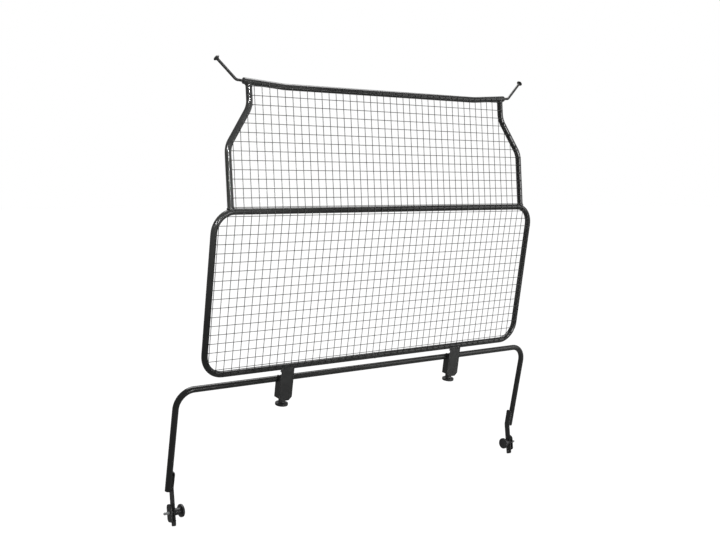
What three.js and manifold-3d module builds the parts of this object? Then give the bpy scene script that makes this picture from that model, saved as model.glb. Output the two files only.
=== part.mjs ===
// A full-height vehicle cargo barrier: a bent frame of round tube with welded wire mesh, two spring
// loaded roof hooks, and a U-shaped lower bar in two screw clamps, with screw jaws at its feet.
// Millimetres, +Z up. X is across the vehicle, -Y faces the cabin, and the origin ends up under the
// middle of the whole barrier.

import * as THREE from "three";
import { mergeVertices } from "three/addons/utils/BufferGeometryUtils.js";
import Module from "manifold-3d";

const wasm = await Module();
wasm.setup();

// Driving dimensions.
const LOWER_LEAN = 9.6; // degrees, the lower panel's foot goes back
const UPPER_LEAN = 4.2; // degrees, the upper panel's head goes back
const LEG_LEAN = 12; // degrees, the lower bar's legs go back
const TUBE_RADIUS = 9;
const TUBE_BORE_RADIUS = 7.5;
const GAP = 0.3; // air between welded or resting pieces
const TUBE_BEHIND_MESH = 10.5; // from the mesh plane back to the tubes' axes
const HALF_WIDTH = 600; // middle of the panel to the side tubes' axes
const CORNER_RADIUS = 60;
const MID_RAIL_DROP = 3; // the middle rail's axis, below the bend of the mesh
const PANEL_HEIGHT = 455; // middle rail to bottom rail, axis to axis
const TOP_RAIL_HEIGHT = 340.2; // the top rail's axis, up the upper panel
const UPPER_HALF_WIDTH = 553;
const SLANT_START = 172; // height where the side tubes turn inwards
const SLANT_END = 282;
const TOP_HALF_WIDTH = 478;
const RAIL_STRAIGHT = 361; // half of the top rail's straight stretch
const RAIL_END = 493;
const RAIL_RISE = 4.1; // degrees, at the top rail's two ends
const RAIL_BEND_RADIUS = 150;

const MESH_PITCH = 25;
const MESH_SHIFT = 7.84; // the wires aren't centred between the side tubes
const WIRE_WIDTH = 2;
const WIRE_THICK = 1.7;
const REAR_WIRES = TUBE_BEHIND_MESH - TUBE_RADIUS - GAP - WIRE_THICK / 2;
const FRONT_WIRES = REAR_WIRES - WIRE_THICK - GAP;
const LOWER_FIRST_ROW = 14.6; // the first level wire below the bend
const LOWER_ROWS = 18;
const UPPER_FIRST_ROW = 9.8; // the first level wire above the bend
const UPPER_ROWS = 14;

const BRACKET_PLACE = 328; // from the middle to each clamp bracket
const BRACKET_WIDTH = 46;
const SHEET = 2.5; // sheet steel of the brackets
const BRACKET_TOP = -3.5;
const BRACKET_BOTTOM = -101;
const WALL_BACK = 12;
const WALL_BOTTOM = -92;
const BAR_DROP = 36.75; // bottom rail's axis to lower bar's axis
const BAR_BACK = 7.5;
const SCREW_BACK = 4.5;
const NOTCH_RADIUS = 9.45;

const LEG_PLACE = 672; // from the middle to each leg's axis
const LEG_LENGTH = 293;
const BAR_CORNER_RADIUS = 52;
const STRAP_THICK = 4;
const STRAP_WIDTH = 20;
const STRAP_TOP = -238;
const STRAP_CRANK = -288;
const STRAP_TURN = 18.5; // degrees
const STRAP_TOE = 106.3; // crank to toe
const STRAP_SHIFT = 2; // the strap's middle behind the leg's axis
const JAW_THICK = 4;
const JAW_FACE = 673; // outer face of the jaws, from the middle
const FOOT_SCREW = 66.3; // crank to clamp screw
const STUD_TIP = 689.3;

const radians = THREE.MathUtils.degToRad;
const point = (x, y, z) => new THREE.Vector3(x, y, z);
const flat = (x, y) => new THREE.Vector2(x, y);

const black = { color: 0x2a2b2a, roughness: 0.5, metalness: 0.2 };
const blackWire = { color: 0x303130, roughness: 0.55, metalness: 0.2 };
const blackPlastic = { color: 0x2e2e2e, roughness: 0.6, metalness: 0 };
const zinc = { color: 0xb9bcbe, roughness: 0.35, metalness: 0.9 };
const springSteel = { color: 0x77797b, roughness: 0.4, metalness: 0.9 };

function named(name, geometry, finish) {
  const mesh = new THREE.Mesh(geometry, new THREE.MeshStandardMaterial(finish));
  mesh.name = name;
  return mesh;
}

// Booleans work on a geometry's merged triangles.
function solid(geometry) {
  const bare = geometry.index ? geometry.toNonIndexed() : geometry.clone();
  bare.deleteAttribute("normal");
  bare.deleteAttribute("uv");
  const merged = mergeVertices(bare, 1e-4);
  return new wasm.Manifold(new wasm.Mesh({
    numProp: 3,
    vertProperties: new Float32Array(merged.attributes.position.array),
    triVerts: new Uint32Array(merged.index.array),
  }));
}

function surface(manifold) {
  const mesh = manifold.getMesh();
  const geometry = new THREE.BufferGeometry();
  geometry.setAttribute("position", new THREE.BufferAttribute(new Float32Array(mesh.vertProperties), 3));
  geometry.setIndex(new THREE.BufferAttribute(new Uint32Array(mesh.triVerts), 1));
  geometry.computeVertexNormals();
  return geometry;
}

function joined(first, ...rest) {
  return surface(rest.reduce((sum, one) => sum.add(solid(one)), solid(first)));
}

function cut(first, ...rest) {
  return surface(rest.reduce((left, one) => left.subtract(solid(one)), solid(first)));
}

// An outline carried square to one axis. Its own two directions become (y, z), (x, z) or (x, y).
function plate(outline, thick, axis, curveSegments = 8) {
  const geometry = new THREE.ExtrudeGeometry(outline, { depth: thick, bevelEnabled: false, curveSegments });
  geometry.translate(0, 0, -thick / 2);
  if (axis === "x") {
    geometry.applyMatrix4(new THREE.Matrix4().makeBasis(point(0, 1, 0), point(0, 0, 1), point(1, 0, 0)));
  }
  if (axis === "y") {
    geometry.applyMatrix4(new THREE.Matrix4().makeBasis(point(1, 0, 0), point(0, 0, 1), point(0, -1, 0)));
  }
  return geometry;
}

function block(low, high) {
  const size = high.clone().sub(low);
  const middle = high.clone().add(low).multiplyScalar(0.5);
  return new THREE.BoxGeometry(size.x, size.y, size.z).translate(middle.x, middle.y, middle.z);
}

function rod(radius, length, axis, sides = 12) {
  const geometry = new THREE.CylinderGeometry(radius, radius, length, sides);
  if (axis === "x") geometry.rotateZ(Math.PI / 2);
  if (axis === "z") geometry.rotateX(Math.PI / 2);
  return geometry;
}

function circle(radius, sides, turn = 0) {
  const corner = (_, i) => {
    const angle = turn + (i * 2 * Math.PI) / sides;
    return flat(radius * Math.cos(angle), radius * Math.sin(angle));
  };
  return Array.from({ length: sides }, corner);
}

function ring(outer, inner, sides, outerSides = sides) {
  const shape = new THREE.Shape(circle(outer, outerSides));
  shape.holes.push(new THREE.Path(circle(inner, sides)));
  return shape;
}

// A path of straight runs and round bends, with a station at each end of a run and along each bend.
class BentPath extends THREE.Curve {
  constructor(corners, radius, bendSteps) {
    super();
    this.stations = [];
    const heading = (i) => corners[i + 1].clone().sub(corners[i]).normalize();
    const last = corners.length - 1;
    this.stations.push({ place: corners[0], tangent: heading(0) });
    for (let i = 1; i < last; i += 1) {
      this.bend(corners[i], heading(i - 1), heading(i), radius, bendSteps);
    }
    this.stations.push({ place: corners[last], tangent: heading(last - 1) });
  }

  bend(corner, before, after, radius, bendSteps) {
    const turn = before.angleTo(after);
    const axis = before.clone().cross(after).normalize();
    const start = corner.clone().addScaledVector(before, -radius * Math.tan(turn / 2));
    const centre = start.clone().addScaledVector(axis.clone().cross(before), radius);
    for (let step = 0; step <= bendSteps; step += 1) {
      const angle = (turn * step) / bendSteps;
      const arm = start.clone().sub(centre).applyAxisAngle(axis, angle);
      this.stations.push({ place: arm.add(centre), tangent: before.clone().applyAxisAngle(axis, angle) });
    }
  }

  getPoint(t, target = new THREE.Vector3()) {
    const along = t * (this.stations.length - 1);
    const first = Math.min(Math.floor(along + 1e-6), this.stations.length - 2);
    return target.lerpVectors(this.stations[first].place, this.stations[first + 1].place, along - first);
  }

  getPointAt(u, target) {
    return this.getPoint(u, target);
  }

  getTangentAt(u, target = new THREE.Vector3()) {
    return target.copy(this.stations[Math.round(u * (this.stations.length - 1))].tangent);
  }
}

function swept(section, path) {
  return new THREE.ExtrudeGeometry(section, { steps: path.stations.length - 1, extrudePath: path });
}

const tube = (path) => swept(ring(TUBE_RADIUS, TUBE_BORE_RADIUS, 8, 12), path);
const tubeRoom = (path) => swept(new THREE.Shape(circle(TUBE_RADIUS + GAP, 12)), path);

// The lower frame: one tube bent to a rectangle and closed by a butt weld under its middle.
function lowerLoopPath() {
  const y = TUBE_BEHIND_MESH;
  const top = -MID_RAIL_DROP;
  const bottom = top - PANEL_HEIGHT;
  const corners = [
    point(GAP, y, bottom),
    point(HALF_WIDTH, y, bottom),
    point(HALF_WIDTH, y, top),
    point(-HALF_WIDTH, y, top),
    point(-HALF_WIDTH, y, bottom),
    point(-GAP, y, bottom),
  ];
  return new BentPath(corners, CORNER_RADIUS, 6);
}

// The space that the lower frame takes, in the upper panel's own directions.
function lowerLoopRoom() {
  return tubeRoom(lowerLoopPath()).rotateX(radians(LOWER_LEAN + UPPER_LEAN));
}

function topRailPath() {
  const rise = (RAIL_END - RAIL_STRAIGHT) * Math.tan(radians(RAIL_RISE));
  const at = (x, z) => point(x, TUBE_BEHIND_MESH, TOP_RAIL_HEIGHT + z);
  const corners = [at(-RAIL_END, rise), at(-RAIL_STRAIGHT, 0), at(RAIL_STRAIGHT, 0), at(RAIL_END, rise)];
  return new BentPath(corners, RAIL_BEND_RADIUS, 2);
}

function sideTube(side) {
  const at = (x, z) => point(side * x, TUBE_BEHIND_MESH, z);
  const corners = [
    at(UPPER_HALF_WIDTH, 0),
    at(UPPER_HALF_WIDTH, SLANT_START),
    at(TOP_HALF_WIDTH, SLANT_END),
    at(TOP_HALF_WIDTH, TOP_RAIL_HEIGHT + 8),
  ];
  const path = new BentPath(corners, CORNER_RADIUS, 4);
  return cut(tube(path), lowerLoopRoom(), tubeRoom(topRailPath()));
}

// The lower mesh is trimmed along the loop, so its border turns the same corners.
function roundedEdge(bottom, top) {
  const turns = [0, 30, 60, 90].map(radians);
  const corner = turns.map((angle) => ({
    rise: CORNER_RADIUS * (1 - Math.cos(angle)),
    half: HALF_WIDTH - CORNER_RADIUS * (1 - Math.sin(angle)),
  }));
  const lowerTurn = corner.map((one) => ({ height: bottom + one.rise, half: one.half }));
  const upperTurn = corner.map((one) => ({ height: top - one.rise, half: one.half })).reverse();
  return [...lowerTurn, ...upperTurn];
}

// Half the width of the upper panel's mesh at a height: it is trimmed along the side tubes.
const upperEdge = [
  { height: 3, half: UPPER_HALF_WIDTH },
  { height: SLANT_START, half: UPPER_HALF_WIDTH },
  { height: SLANT_END, half: TOP_HALF_WIDTH },
  { height: TOP_RAIL_HEIGHT + 3, half: TOP_HALF_WIDTH },
];
const lowerEdge = roundedEdge(-PANEL_HEIGHT - MID_RAIL_DROP, -MID_RAIL_DROP);

function halfAt(edge, height) {
  const next = edge.findIndex((one) => one.height >= height - 1e-6);
  if (next <= 0) return edge[0].half;
  const share = (height - edge[next - 1].height) / (edge[next].height - edge[next - 1].height);
  return THREE.MathUtils.lerp(edge[next - 1].half, edge[next].half, share);
}

function outlineOf(edge, inset) {
  const last = edge.length - 1;
  const height = (i) => edge[i].height + (i === 0 ? inset : 0) - (i === last ? inset : 0);
  const right = edge.map((one, i) => flat(one.half - inset, height(i)));
  return new THREE.Shape([...right, ...right.map((one) => flat(-one.x, one.y)).reverse()]);
}

// One layer of upright wires, tied along its border and trimmed to the panel's outline.
function uprightLayer(edge) {
  const sheet = solid(plate(outlineOf(edge, 0), WIRE_THICK, "y"));
  const inside = solid(plate(outlineOf(edge, WIRE_WIDTH), 2 * WIRE_THICK, "y"));
  const reach = Math.max(...edge.map((one) => one.half)) - WIRE_WIDTH;
  const low = point(-WIRE_WIDTH / 2, -WIRE_THICK / 2, edge[0].height);
  const high = point(WIRE_WIDTH / 2, WIRE_THICK / 2, edge[edge.length - 1].height);
  const first = Math.ceil((-reach - MESH_SHIFT) / MESH_PITCH);
  let wires = sheet.subtract(inside);
  for (let x = first * MESH_PITCH + MESH_SHIFT; x < reach; x += MESH_PITCH) {
    wires = wires.add(solid(block(low, high).translate(x, 0, 0)).intersect(sheet));
  }
  return surface(wires);
}

// One layer of level wires, tied along its two sides.
function levelLayer(edge, rows) {
  const border = WIRE_WIDTH * 1.3;
  const bottom = rows[0] - WIRE_WIDTH / 2;
  const top = rows[rows.length - 1] + WIRE_WIDTH / 2;
  const knees = edge.filter((one) => bottom < one.height && one.height < top);
  const sides = [bottom, ...knees.map((one) => one.height), top];
  const right = sides.map((height) => flat(halfAt(edge, height), height));
  const outline = new THREE.Shape([...right, ...right.map((one) => flat(-one.x, one.y)).reverse()]);
  for (let i = 1; i < rows.length; i += 1) {
    const low = rows[i - 1] + WIRE_WIDTH / 2;
    const high = rows[i] - WIRE_WIDTH / 2;
    const heights = [low, ...knees.map((one) => one.height).filter((one) => low < one && one < high), high];
    const rim = heights.map((height) => flat(halfAt(edge, height) - border, height));
    outline.holes.push(new THREE.Path([...rim, ...rim.map((one) => flat(-one.x, one.y)).reverse()]));
  }
  return plate(outline, WIRE_THICK, "y");
}

// The heights of level wires, lowest first.
const rowsFrom = (lowest, count) => Array.from({ length: count }, (_, i) => lowest + i * MESH_PITCH);

function addWires(panel, word, edge, rows) {
  const uprights = uprightLayer(edge).translate(0, REAR_WIRES, 0);
  const levels = levelLayer(edge, rows).translate(0, FRONT_WIRES, 0);
  panel.add(named(`${word}_vertical_wires`, uprights, blackWire));
  panel.add(named(`${word}_horizontal_wires`, levels, blackWire));
}

// Clamp bracket, drawn from the bottom rail's axis: front plate, two notched walls and a lower flange.
function bracketFront() {
  const half = BRACKET_WIDTH / 2;
  const chamfer = 10;
  return new THREE.Shape([
    flat(-half, BRACKET_TOP), flat(-half, BRACKET_BOTTOM + chamfer), flat(-half + chamfer, BRACKET_BOTTOM),
    flat(half - chamfer, BRACKET_BOTTOM), flat(half, BRACKET_BOTTOM + chamfer), flat(half, BRACKET_TOP),
  ]);
}

function bracketWall(front) {
  const relief = { y: 0, z: -17, radius: 7.3, top: -11 };
  const lip = { back: -1.5, rounding: 2.2 };
  const lipTop = relief.z - relief.radius;
  const wall = new THREE.Shape();
  wall.moveTo(front, relief.top);
  const reliefStart = Math.PI - Math.asin((relief.top - relief.z) / relief.radius);
  wall.lineTo(relief.y + relief.radius * Math.cos(reliefStart), relief.top);
  wall.absarc(relief.y, relief.z, relief.radius, reliefStart, 1.5 * Math.PI, false);
  wall.lineTo(BAR_BACK + lip.back - lip.rounding, lipTop);
  wall.quadraticCurveTo(BAR_BACK + lip.back, lipTop, BAR_BACK + lip.back, lipTop - lip.rounding);
  const notchStart = Math.acos(lip.back / NOTCH_RADIUS);
  wall.lineTo(BAR_BACK + lip.back, -BAR_DROP + NOTCH_RADIUS * Math.sin(notchStart));
  wall.absarc(BAR_BACK, -BAR_DROP, NOTCH_RADIUS, notchStart, 1.5 * Math.PI, false);
  wall.lineTo(WALL_BACK, -BAR_DROP - NOTCH_RADIUS);
  wall.lineTo(WALL_BACK, WALL_BOTTOM);
  wall.lineTo(front, WALL_BOTTOM);
  return wall;
}

function clampBracket() {
  const front = -TUBE_RADIUS - GAP - SHEET / 2;
  const half = BRACKET_WIDTH / 2;
  const face = plate(bracketFront(), SHEET, "y").translate(0, front, 0);
  const walls = [-1, 1].map((side) => {
    return plate(bracketWall(front), SHEET, "x").translate(side * (half - SHEET / 2), 0, 0);
  });
  const flangeLow = point(-half + SHEET / 2, front, WALL_BOTTOM);
  const flangeHigh = point(half - SHEET / 2, WALL_BACK, WALL_BOTTOM + SHEET);
  const flange = block(flangeLow, flangeHigh);
  const hole = rod(5, 3 * SHEET, "z").translate(0, SCREW_BACK, WALL_BOTTOM);
  const relief = { radius: 7.2, length: 12, sides: 18, out: 3.4, back: 3, drop: 16.6 };
  const foldRelief = rod(relief.radius, relief.length, "y", relief.sides);
  foldRelief.translate(-half - relief.out, front + relief.back, -relief.drop);
  return cut(joined(face, ...walls, flange), hole, foldRelief);
}

// Pressure saddle: a block with a trough that lifts the bar into the notches.
function saddle() {
  const width = BRACKET_WIDTH - 2 * SHEET - 1.4;
  const front = -6;
  const back = 13;
  const shoulder = -40;
  const bottom = -54;
  const outline = new THREE.Shape();
  outline.moveTo(front, bottom);
  outline.lineTo(back, bottom);
  const backAngle = -Math.acos((back - BAR_BACK) / NOTCH_RADIUS);
  const frontAngle = -Math.PI + Math.asin((-shoulder - BAR_DROP) / NOTCH_RADIUS);
  outline.absarc(BAR_BACK, -BAR_DROP, NOTCH_RADIUS, backAngle, frontAngle, true);
  outline.lineTo(front, shoulder);
  const socket = rod(5, 8, "z").translate(0, SCREW_BACK, bottom);
  return cut(plate(outline, width, "x"), socket);
}

const SCREW_TOP = -50.4;
const KNOB_TOP = -94;
const KNOB_FACE = -110.5;
const KNOB_BOTTOM = -118.5;

function clampScrew() {
  const low = KNOB_BOTTOM + 2.8;
  return rod(4, SCREW_TOP - low, "z").translate(0, SCREW_BACK, (SCREW_TOP + low) / 2);
}

function clampNut() {
  const nut = new THREE.Shape(circle(7.5, 6, Math.PI / 6).map((one) => flat(one.y, one.x)).reverse());
  nut.holes.push(new THREE.Path(circle(4.5, 12)));
  const top = WALL_BOTTOM + SHEET + GAP;
  return plate(nut, 6.5, "z").translate(0, SCREW_BACK, top + 3.25);
}

// Hand knob round its own axis: hub at the top, dished disc with a rounded rim, blind bore for a thread.
function handKnob(hubTop, discTop, discBottom, hubRadius, discRadius, dish) {
  const boreEnd = discBottom + 2.5 + dish;
  const profile = [
    flat(0, discBottom + dish), flat(discRadius * 0.55, discBottom + dish),
    flat(discRadius * 0.72, discBottom), flat(discRadius - 1.6, discBottom),
    flat(discRadius, discBottom + 1.8), flat(discRadius, discTop - 2),
    flat(discRadius - 1.8, discTop), flat(hubRadius, discTop + 0.8),
    flat(hubRadius, hubTop - 1),
    flat(hubRadius - 1, hubTop), flat(4.4, hubTop), flat(4.4, boreEnd), flat(0, boreEnd),
  ];
  return new THREE.LatheGeometry(profile, 20).rotateX(Math.PI / 2);
}

function addClamp(panel, side, word) {
  const place = new THREE.Group();
  place.position.set(side * BRACKET_PLACE, TUBE_BEHIND_MESH, -MID_RAIL_DROP - PANEL_HEIGHT);
  const knob = handKnob(KNOB_TOP, KNOB_FACE, KNOB_BOTTOM, 10.2, 19, 0);
  place.add(named(`${word}_clamp_bracket`, clampBracket(), black));
  place.add(named(`${word}_clamp_nut`, clampNut(), zinc));
  place.add(named(`${word}_saddle`, saddle(), zinc));
  place.add(named(`${word}_clamp_screw`, clampScrew(), zinc));
  place.add(named(`${word}_clamp_knob`, knob.translate(0, SCREW_BACK, 0), blackPlastic));
  panel.add(place);
}

// Roof hook, drawn from the top rail's end with x along the rail's rising end.
const HOOK_BEND = 24;
const HOOK_TURN = 38.9; // degrees
const HOOK_REACH = 79.5;
const PLUG_LENGTH = 12;
const COLLAR_LENGTH = 4;
const SPRING_LENGTH = 30;

function roofHook() {
  const turn = radians(HOOK_TURN);
  const tip = point(HOOK_BEND + HOOK_REACH * Math.cos(turn), 0, HOOK_REACH * Math.sin(turn));
  const path = new BentPath([point(-34, 0, 0), point(HOOK_BEND, 0, 0), tip], 14, 4);
  const head = new THREE.LatheGeometry([
    flat(0, -3.4), flat(7.6, -3.4), flat(9, -2.2), flat(9, -0.4), flat(7.4, 1.6), flat(4.2, 2.8),
    flat(0, 3.3),
  ], 16);
  head.rotateZ(-Math.PI / 2).rotateY(-turn).translate(tip.x, 0, tip.z);
  return joined(swept(new THREE.Shape(circle(4, 12)), path), head);
}

function railPlug() {
  const profile = [
    flat(4.5, -PLUG_LENGTH), flat(6.7, -PLUG_LENGTH), flat(6.7, GAP), flat(8.9, GAP), flat(8.7, 1.4),
    flat(7.4, 2.3), flat(4.5, 2.3), flat(4.5, -PLUG_LENGTH),
  ];
  return new THREE.LatheGeometry(profile, 16).rotateZ(-Math.PI / 2);
}

function hookCollar() {
  const middle = -PLUG_LENGTH - 2 * GAP - COLLAR_LENGTH / 2;
  return plate(ring(6.5, 4.4, 12), COLLAR_LENGTH, "x").translate(middle, 0, 0);
}

class Helix extends THREE.Curve {
  constructor(start, length, radius, turns) {
    super();
    Object.assign(this, { start, length, radius, turns });
  }

  getPoint(t, target = new THREE.Vector3()) {
    const angle = t * this.turns * 2 * Math.PI;
    const reach = this.radius;
    return target.set(this.start - t * this.length, reach * Math.cos(angle), reach * Math.sin(angle));
  }
}

function hookSpring() {
  const wire = 0.7;
  const start = -PLUG_LENGTH - 3 * GAP - COLLAR_LENGTH - wire;
  const coil = new Helix(start, SPRING_LENGTH - 2 * wire, 5.6, 6);
  return new THREE.ExtrudeGeometry(new THREE.Shape(circle(wire, 4)), { steps: 54, extrudePath: coil });
}

function springStop() {
  const far = -PLUG_LENGTH - 4 * GAP - COLLAR_LENGTH - SPRING_LENGTH;
  return rod(6.6, 3, "x").translate(far - 1.5, 0, 0);
}

function addRoofHook(panel, side, word) {
  const rise = (RAIL_END - RAIL_STRAIGHT) * Math.tan(radians(RAIL_RISE));
  const place = new THREE.Group();
  place.position.set(side * RAIL_END, TUBE_BEHIND_MESH, TOP_RAIL_HEIGHT + rise);
  place.rotation.z = side > 0 ? 0 : Math.PI;
  const along = new THREE.Group();
  along.rotation.y = -radians(RAIL_RISE);
  along.add(named(`${word}_roof_hook`, roofHook(), black));
  along.add(named(`${word}_rail_plug`, railPlug(), blackPlastic));
  along.add(named(`${word}_hook_collar`, hookCollar(), zinc));
  along.add(named(`${word}_hook_spring`, hookSpring(), springSteel));
  along.add(named(`${word}_spring_stop`, springStop(), zinc));
  place.add(along);
  panel.add(place);
}

// The lower bar, drawn from its own axis with its legs straight down.
function lowerBar() {
  const corners = [
    point(-LEG_PLACE, 0, -LEG_LENGTH), point(-LEG_PLACE, 0, 0), point(LEG_PLACE, 0, 0),
    point(LEG_PLACE, 0, -LEG_LENGTH),
  ];
  return tube(new BentPath(corners, BAR_CORNER_RADIUS, 6));
}

const TOE_DIRECTION = flat(-Math.sin(radians(STRAP_TURN)), -Math.cos(radians(STRAP_TURN)));
const TOE_ACROSS = flat(-TOE_DIRECTION.y, TOE_DIRECTION.x);

// A place on the strap's lower part: distance along it from the crank, and towards its rear edge.
function onToe(along, rear) {
  const crank = flat(STRAP_SHIFT, STRAP_CRANK);
  return crank.addScaledVector(TOE_DIRECTION, along).addScaledVector(TOE_ACROSS, rear);
}

function strapOutline() {
  const half = STRAP_WIDTH / 2;
  const mitre = half * Math.tan(radians(STRAP_TURN / 2));
  const crankRear = onToe(mitre, half);
  const crankFront = onToe(-mitre, -half);
  const rounding = 7;
  const topFront = STRAP_SHIFT - half;
  const topRear = STRAP_SHIFT + half;
  const outline = new THREE.Shape();
  outline.moveTo(topRear, STRAP_TOP - rounding);
  outline.quadraticCurveTo(topRear, STRAP_TOP, topRear - rounding, STRAP_TOP);
  outline.lineTo(topFront + rounding, STRAP_TOP);
  outline.quadraticCurveTo(topFront, STRAP_TOP, topFront, STRAP_TOP - rounding);
  outline.lineTo(crankFront.x, crankFront.y);
  const toe = [
    onToe(STRAP_TOE - 9, -half), onToe(STRAP_TOE - 3.5, -half + 1.5), onToe(STRAP_TOE - 2, -half + 5),
    onToe(STRAP_TOE, half - 1.5), onToe(STRAP_TOE - 2, half), crankRear,
  ];
  toe.forEach((one) => outline.lineTo(one.x, one.y));
  return outline;
}

function discAt(radius, middle, sides) {
  return circle(radius, sides).map((one) => one.add(middle));
}

function slotAt(along, length, width) {
  const reach = (a, b) => onToe(along + (a * width) / 2, (b * length) / 2);
  return [reach(-1, -1), reach(-1, 1), reach(1, 1), reach(1, -1)];
}

const TONGUE_PLACE = 90.2;

function footStrap() {
  const outline = strapOutline();
  outline.holes.push(new THREE.Path(discAt(4.6, onToe(FOOT_SCREW, 0), 12)));
  outline.holes.push(new THREE.Path(slotAt(TONGUE_PLACE, 12, 4)));
  outline.holes.push(new THREE.Path(discAt(2.5, onToe(97.6, 4), 10)));
  return plate(outline, STRAP_THICK, "x");
}

function footJaw(side) {
  const lobe = 12;
  const upper = [];
  for (let step = 0; step <= 8; step += 1) {
    const angle = Math.PI * (1 - step / 8);
    upper.push(onToe(54 - lobe * Math.sin(angle), 1 + lobe * Math.cos(angle)));
  }
  const lower = [onToe(86, 12.5), onToe(91, 9), onToe(92.4, 5), onToe(92.4, -6), onToe(88, -10)];
  const outline = new THREE.Shape([...upper, ...lower]);
  outline.holes.push(new THREE.Path(discAt(4.5, onToe(FOOT_SCREW, 0), 12)));
  const tongue = new THREE.Shape(slotAt(TONGUE_PLACE, 10.8, 3));
  const inner = LEG_PLACE - TUBE_RADIUS - GAP - STRAP_THICK - 3;
  const outer = JAW_FACE - 1;
  const body = plate(outline, JAW_THICK, "x").translate(side * (JAW_FACE - JAW_THICK / 2), 0, 0);
  const tab = plate(tongue, outer - inner, "x").translate((side * (outer + inner)) / 2, 0, 0);
  return joined(body, tab);
}

function addFoot(bar, side, word) {
  const strapMiddle = LEG_PLACE - TUBE_RADIUS - GAP - STRAP_THICK / 2;
  const strap = footStrap().translate(side * strapMiddle, 0, 0);
  const screw = onToe(FOOT_SCREW, 0);
  const strapInner = strapMiddle - STRAP_THICK / 2;
  const knobOuter = strapInner - GAP;
  const knobInner = 632.5;
  const hub = knobOuter - knobInner;
  const stud = rod(4, STUD_TIP - knobInner - 4.8, "x").translate((STUD_TIP + knobInner + 4.8) / 2, 0, 0);
  const knob = handKnob(hub, 7, 0, 10, 18.7, 1.6).rotateY(Math.PI / 2).translate(knobInner, 0, 0);
  const spindle = new THREE.Group();
  spindle.position.set(0, screw.x, screw.y);
  spindle.rotation.z = side > 0 ? 0 : Math.PI;
  spindle.add(named(`${word}_foot_knob`, knob, blackPlastic));
  spindle.add(named(`${word}_foot_stud`, stud, zinc));
  bar.add(named(`${word}_foot_strap`, strap, black));
  bar.add(named(`${word}_foot_jaw`, footJaw(side), black));
  bar.add(spindle);
}

function barrier() {
  const lower = new THREE.Group();
  lower.rotation.x = radians(LOWER_LEAN);
  const upper = new THREE.Group();
  upper.rotation.x = -radians(UPPER_LEAN);
  const swing = new THREE.Group();
  const barPlace = point(0, TUBE_BEHIND_MESH + BAR_BACK, -MID_RAIL_DROP - PANEL_HEIGHT - BAR_DROP);
  swing.position.copy(barPlace.applyAxisAngle(point(1, 0, 0), radians(LOWER_LEAN)));
  swing.rotation.x = radians(LEG_LEAN);

  lower.add(named("lower_frame_loop", tube(lowerLoopPath()), black));
  upper.add(named("top_rail", tube(topRailPath()), black));
  swing.add(named("lower_bar", lowerBar(), black));
  const lowestRow = -LOWER_FIRST_ROW - (LOWER_ROWS - 1) * MESH_PITCH;
  addWires(lower, "lower", lowerEdge, rowsFrom(lowestRow, LOWER_ROWS));
  addWires(upper, "upper", upperEdge, rowsFrom(UPPER_FIRST_ROW, UPPER_ROWS));
  for (const [side, word] of [[-1, "left"], [1, "right"]]) {
    upper.add(named(`${word}_side_tube`, sideTube(side), black));
    addClamp(lower, side, word);
    addRoofHook(upper, side, word);
    addFoot(swing, side, word);
  }

  const whole = new THREE.Group();
  whole.add(lower, upper, swing);
  whole.updateMatrixWorld(true);
  const box = new THREE.Box3().setFromObject(whole, true);
  const middle = box.getCenter(new THREE.Vector3());
  whole.position.set(-middle.x, -middle.y, -box.min.z);
  return whole;
}

export default barrier();
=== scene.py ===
"""A full-height vehicle cargo barrier: round tube frame, welded wire mesh, roof hooks, clamps and feet."""

import math

import bmesh
import bpy
import numpy as np
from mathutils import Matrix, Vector


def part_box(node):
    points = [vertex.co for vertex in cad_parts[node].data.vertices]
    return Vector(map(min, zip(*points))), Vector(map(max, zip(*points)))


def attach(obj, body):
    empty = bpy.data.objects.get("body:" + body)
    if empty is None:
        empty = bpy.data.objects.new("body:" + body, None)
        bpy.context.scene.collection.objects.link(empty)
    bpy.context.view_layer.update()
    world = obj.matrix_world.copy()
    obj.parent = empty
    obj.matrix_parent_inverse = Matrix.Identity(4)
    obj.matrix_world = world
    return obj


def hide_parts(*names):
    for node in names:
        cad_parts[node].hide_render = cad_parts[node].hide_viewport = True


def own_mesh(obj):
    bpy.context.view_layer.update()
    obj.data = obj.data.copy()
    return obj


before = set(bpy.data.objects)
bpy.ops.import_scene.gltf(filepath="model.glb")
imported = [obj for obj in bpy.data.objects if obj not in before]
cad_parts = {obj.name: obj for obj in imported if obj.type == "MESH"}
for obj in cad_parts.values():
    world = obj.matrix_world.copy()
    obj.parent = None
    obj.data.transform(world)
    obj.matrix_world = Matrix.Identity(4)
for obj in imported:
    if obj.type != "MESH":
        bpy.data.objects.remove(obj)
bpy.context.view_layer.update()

rng = np.random.default_rng(25)

# ---------------------------------------------------------------- driving dimensions, in metres

LOWER_LEAN, UPPER_LEAN, LEG_LEAN = 9.6, -4.2, 12.0
TUBE = 0.009
TUBE_BACK = 0.0105
HALF_WIDTH, CORNER = 0.600, 0.060
RAIL_DROP, PANEL_HEIGHT, TOP_HEIGHT = 0.003, 0.455, 0.3402
SHOULDER_HALF, SHOULDER_LOW, SHOULDER_HIGH, NECK_HALF = 0.553, 0.172, 0.282, 0.478
RAIL_STRAIGHT, RAIL_END, RAIL_RISE, RAIL_BEND = 0.361, 0.493, math.radians(4.1), 0.15
PITCH, MESH_SHIFT, WIRE = 0.025, 0.00784, 0.00093
BRACKET_PLACE, BAR_DROP, BAR_BACK, SCREW_BACK = 0.328, 0.03675, 0.0075, 0.0045
LEG_PLACE, LEG_LENGTH, BAR_CORNER = 0.672, 0.293, 0.052
STRAP_CRANK, STRAP_TURN, STRAP_SHIFT, FOOT_SCREW = 0.288, math.radians(18.5), 0.002, 0.0663
STRAP_INNER = 0.6587
SIDES = ((-1, "left"), (1, "right"))
TUBE_BORE = 0.0075
BRACKET_HALF = 0.02175
NECK_END = 0.335
BEAD_RIPPLE = 1.6
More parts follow.
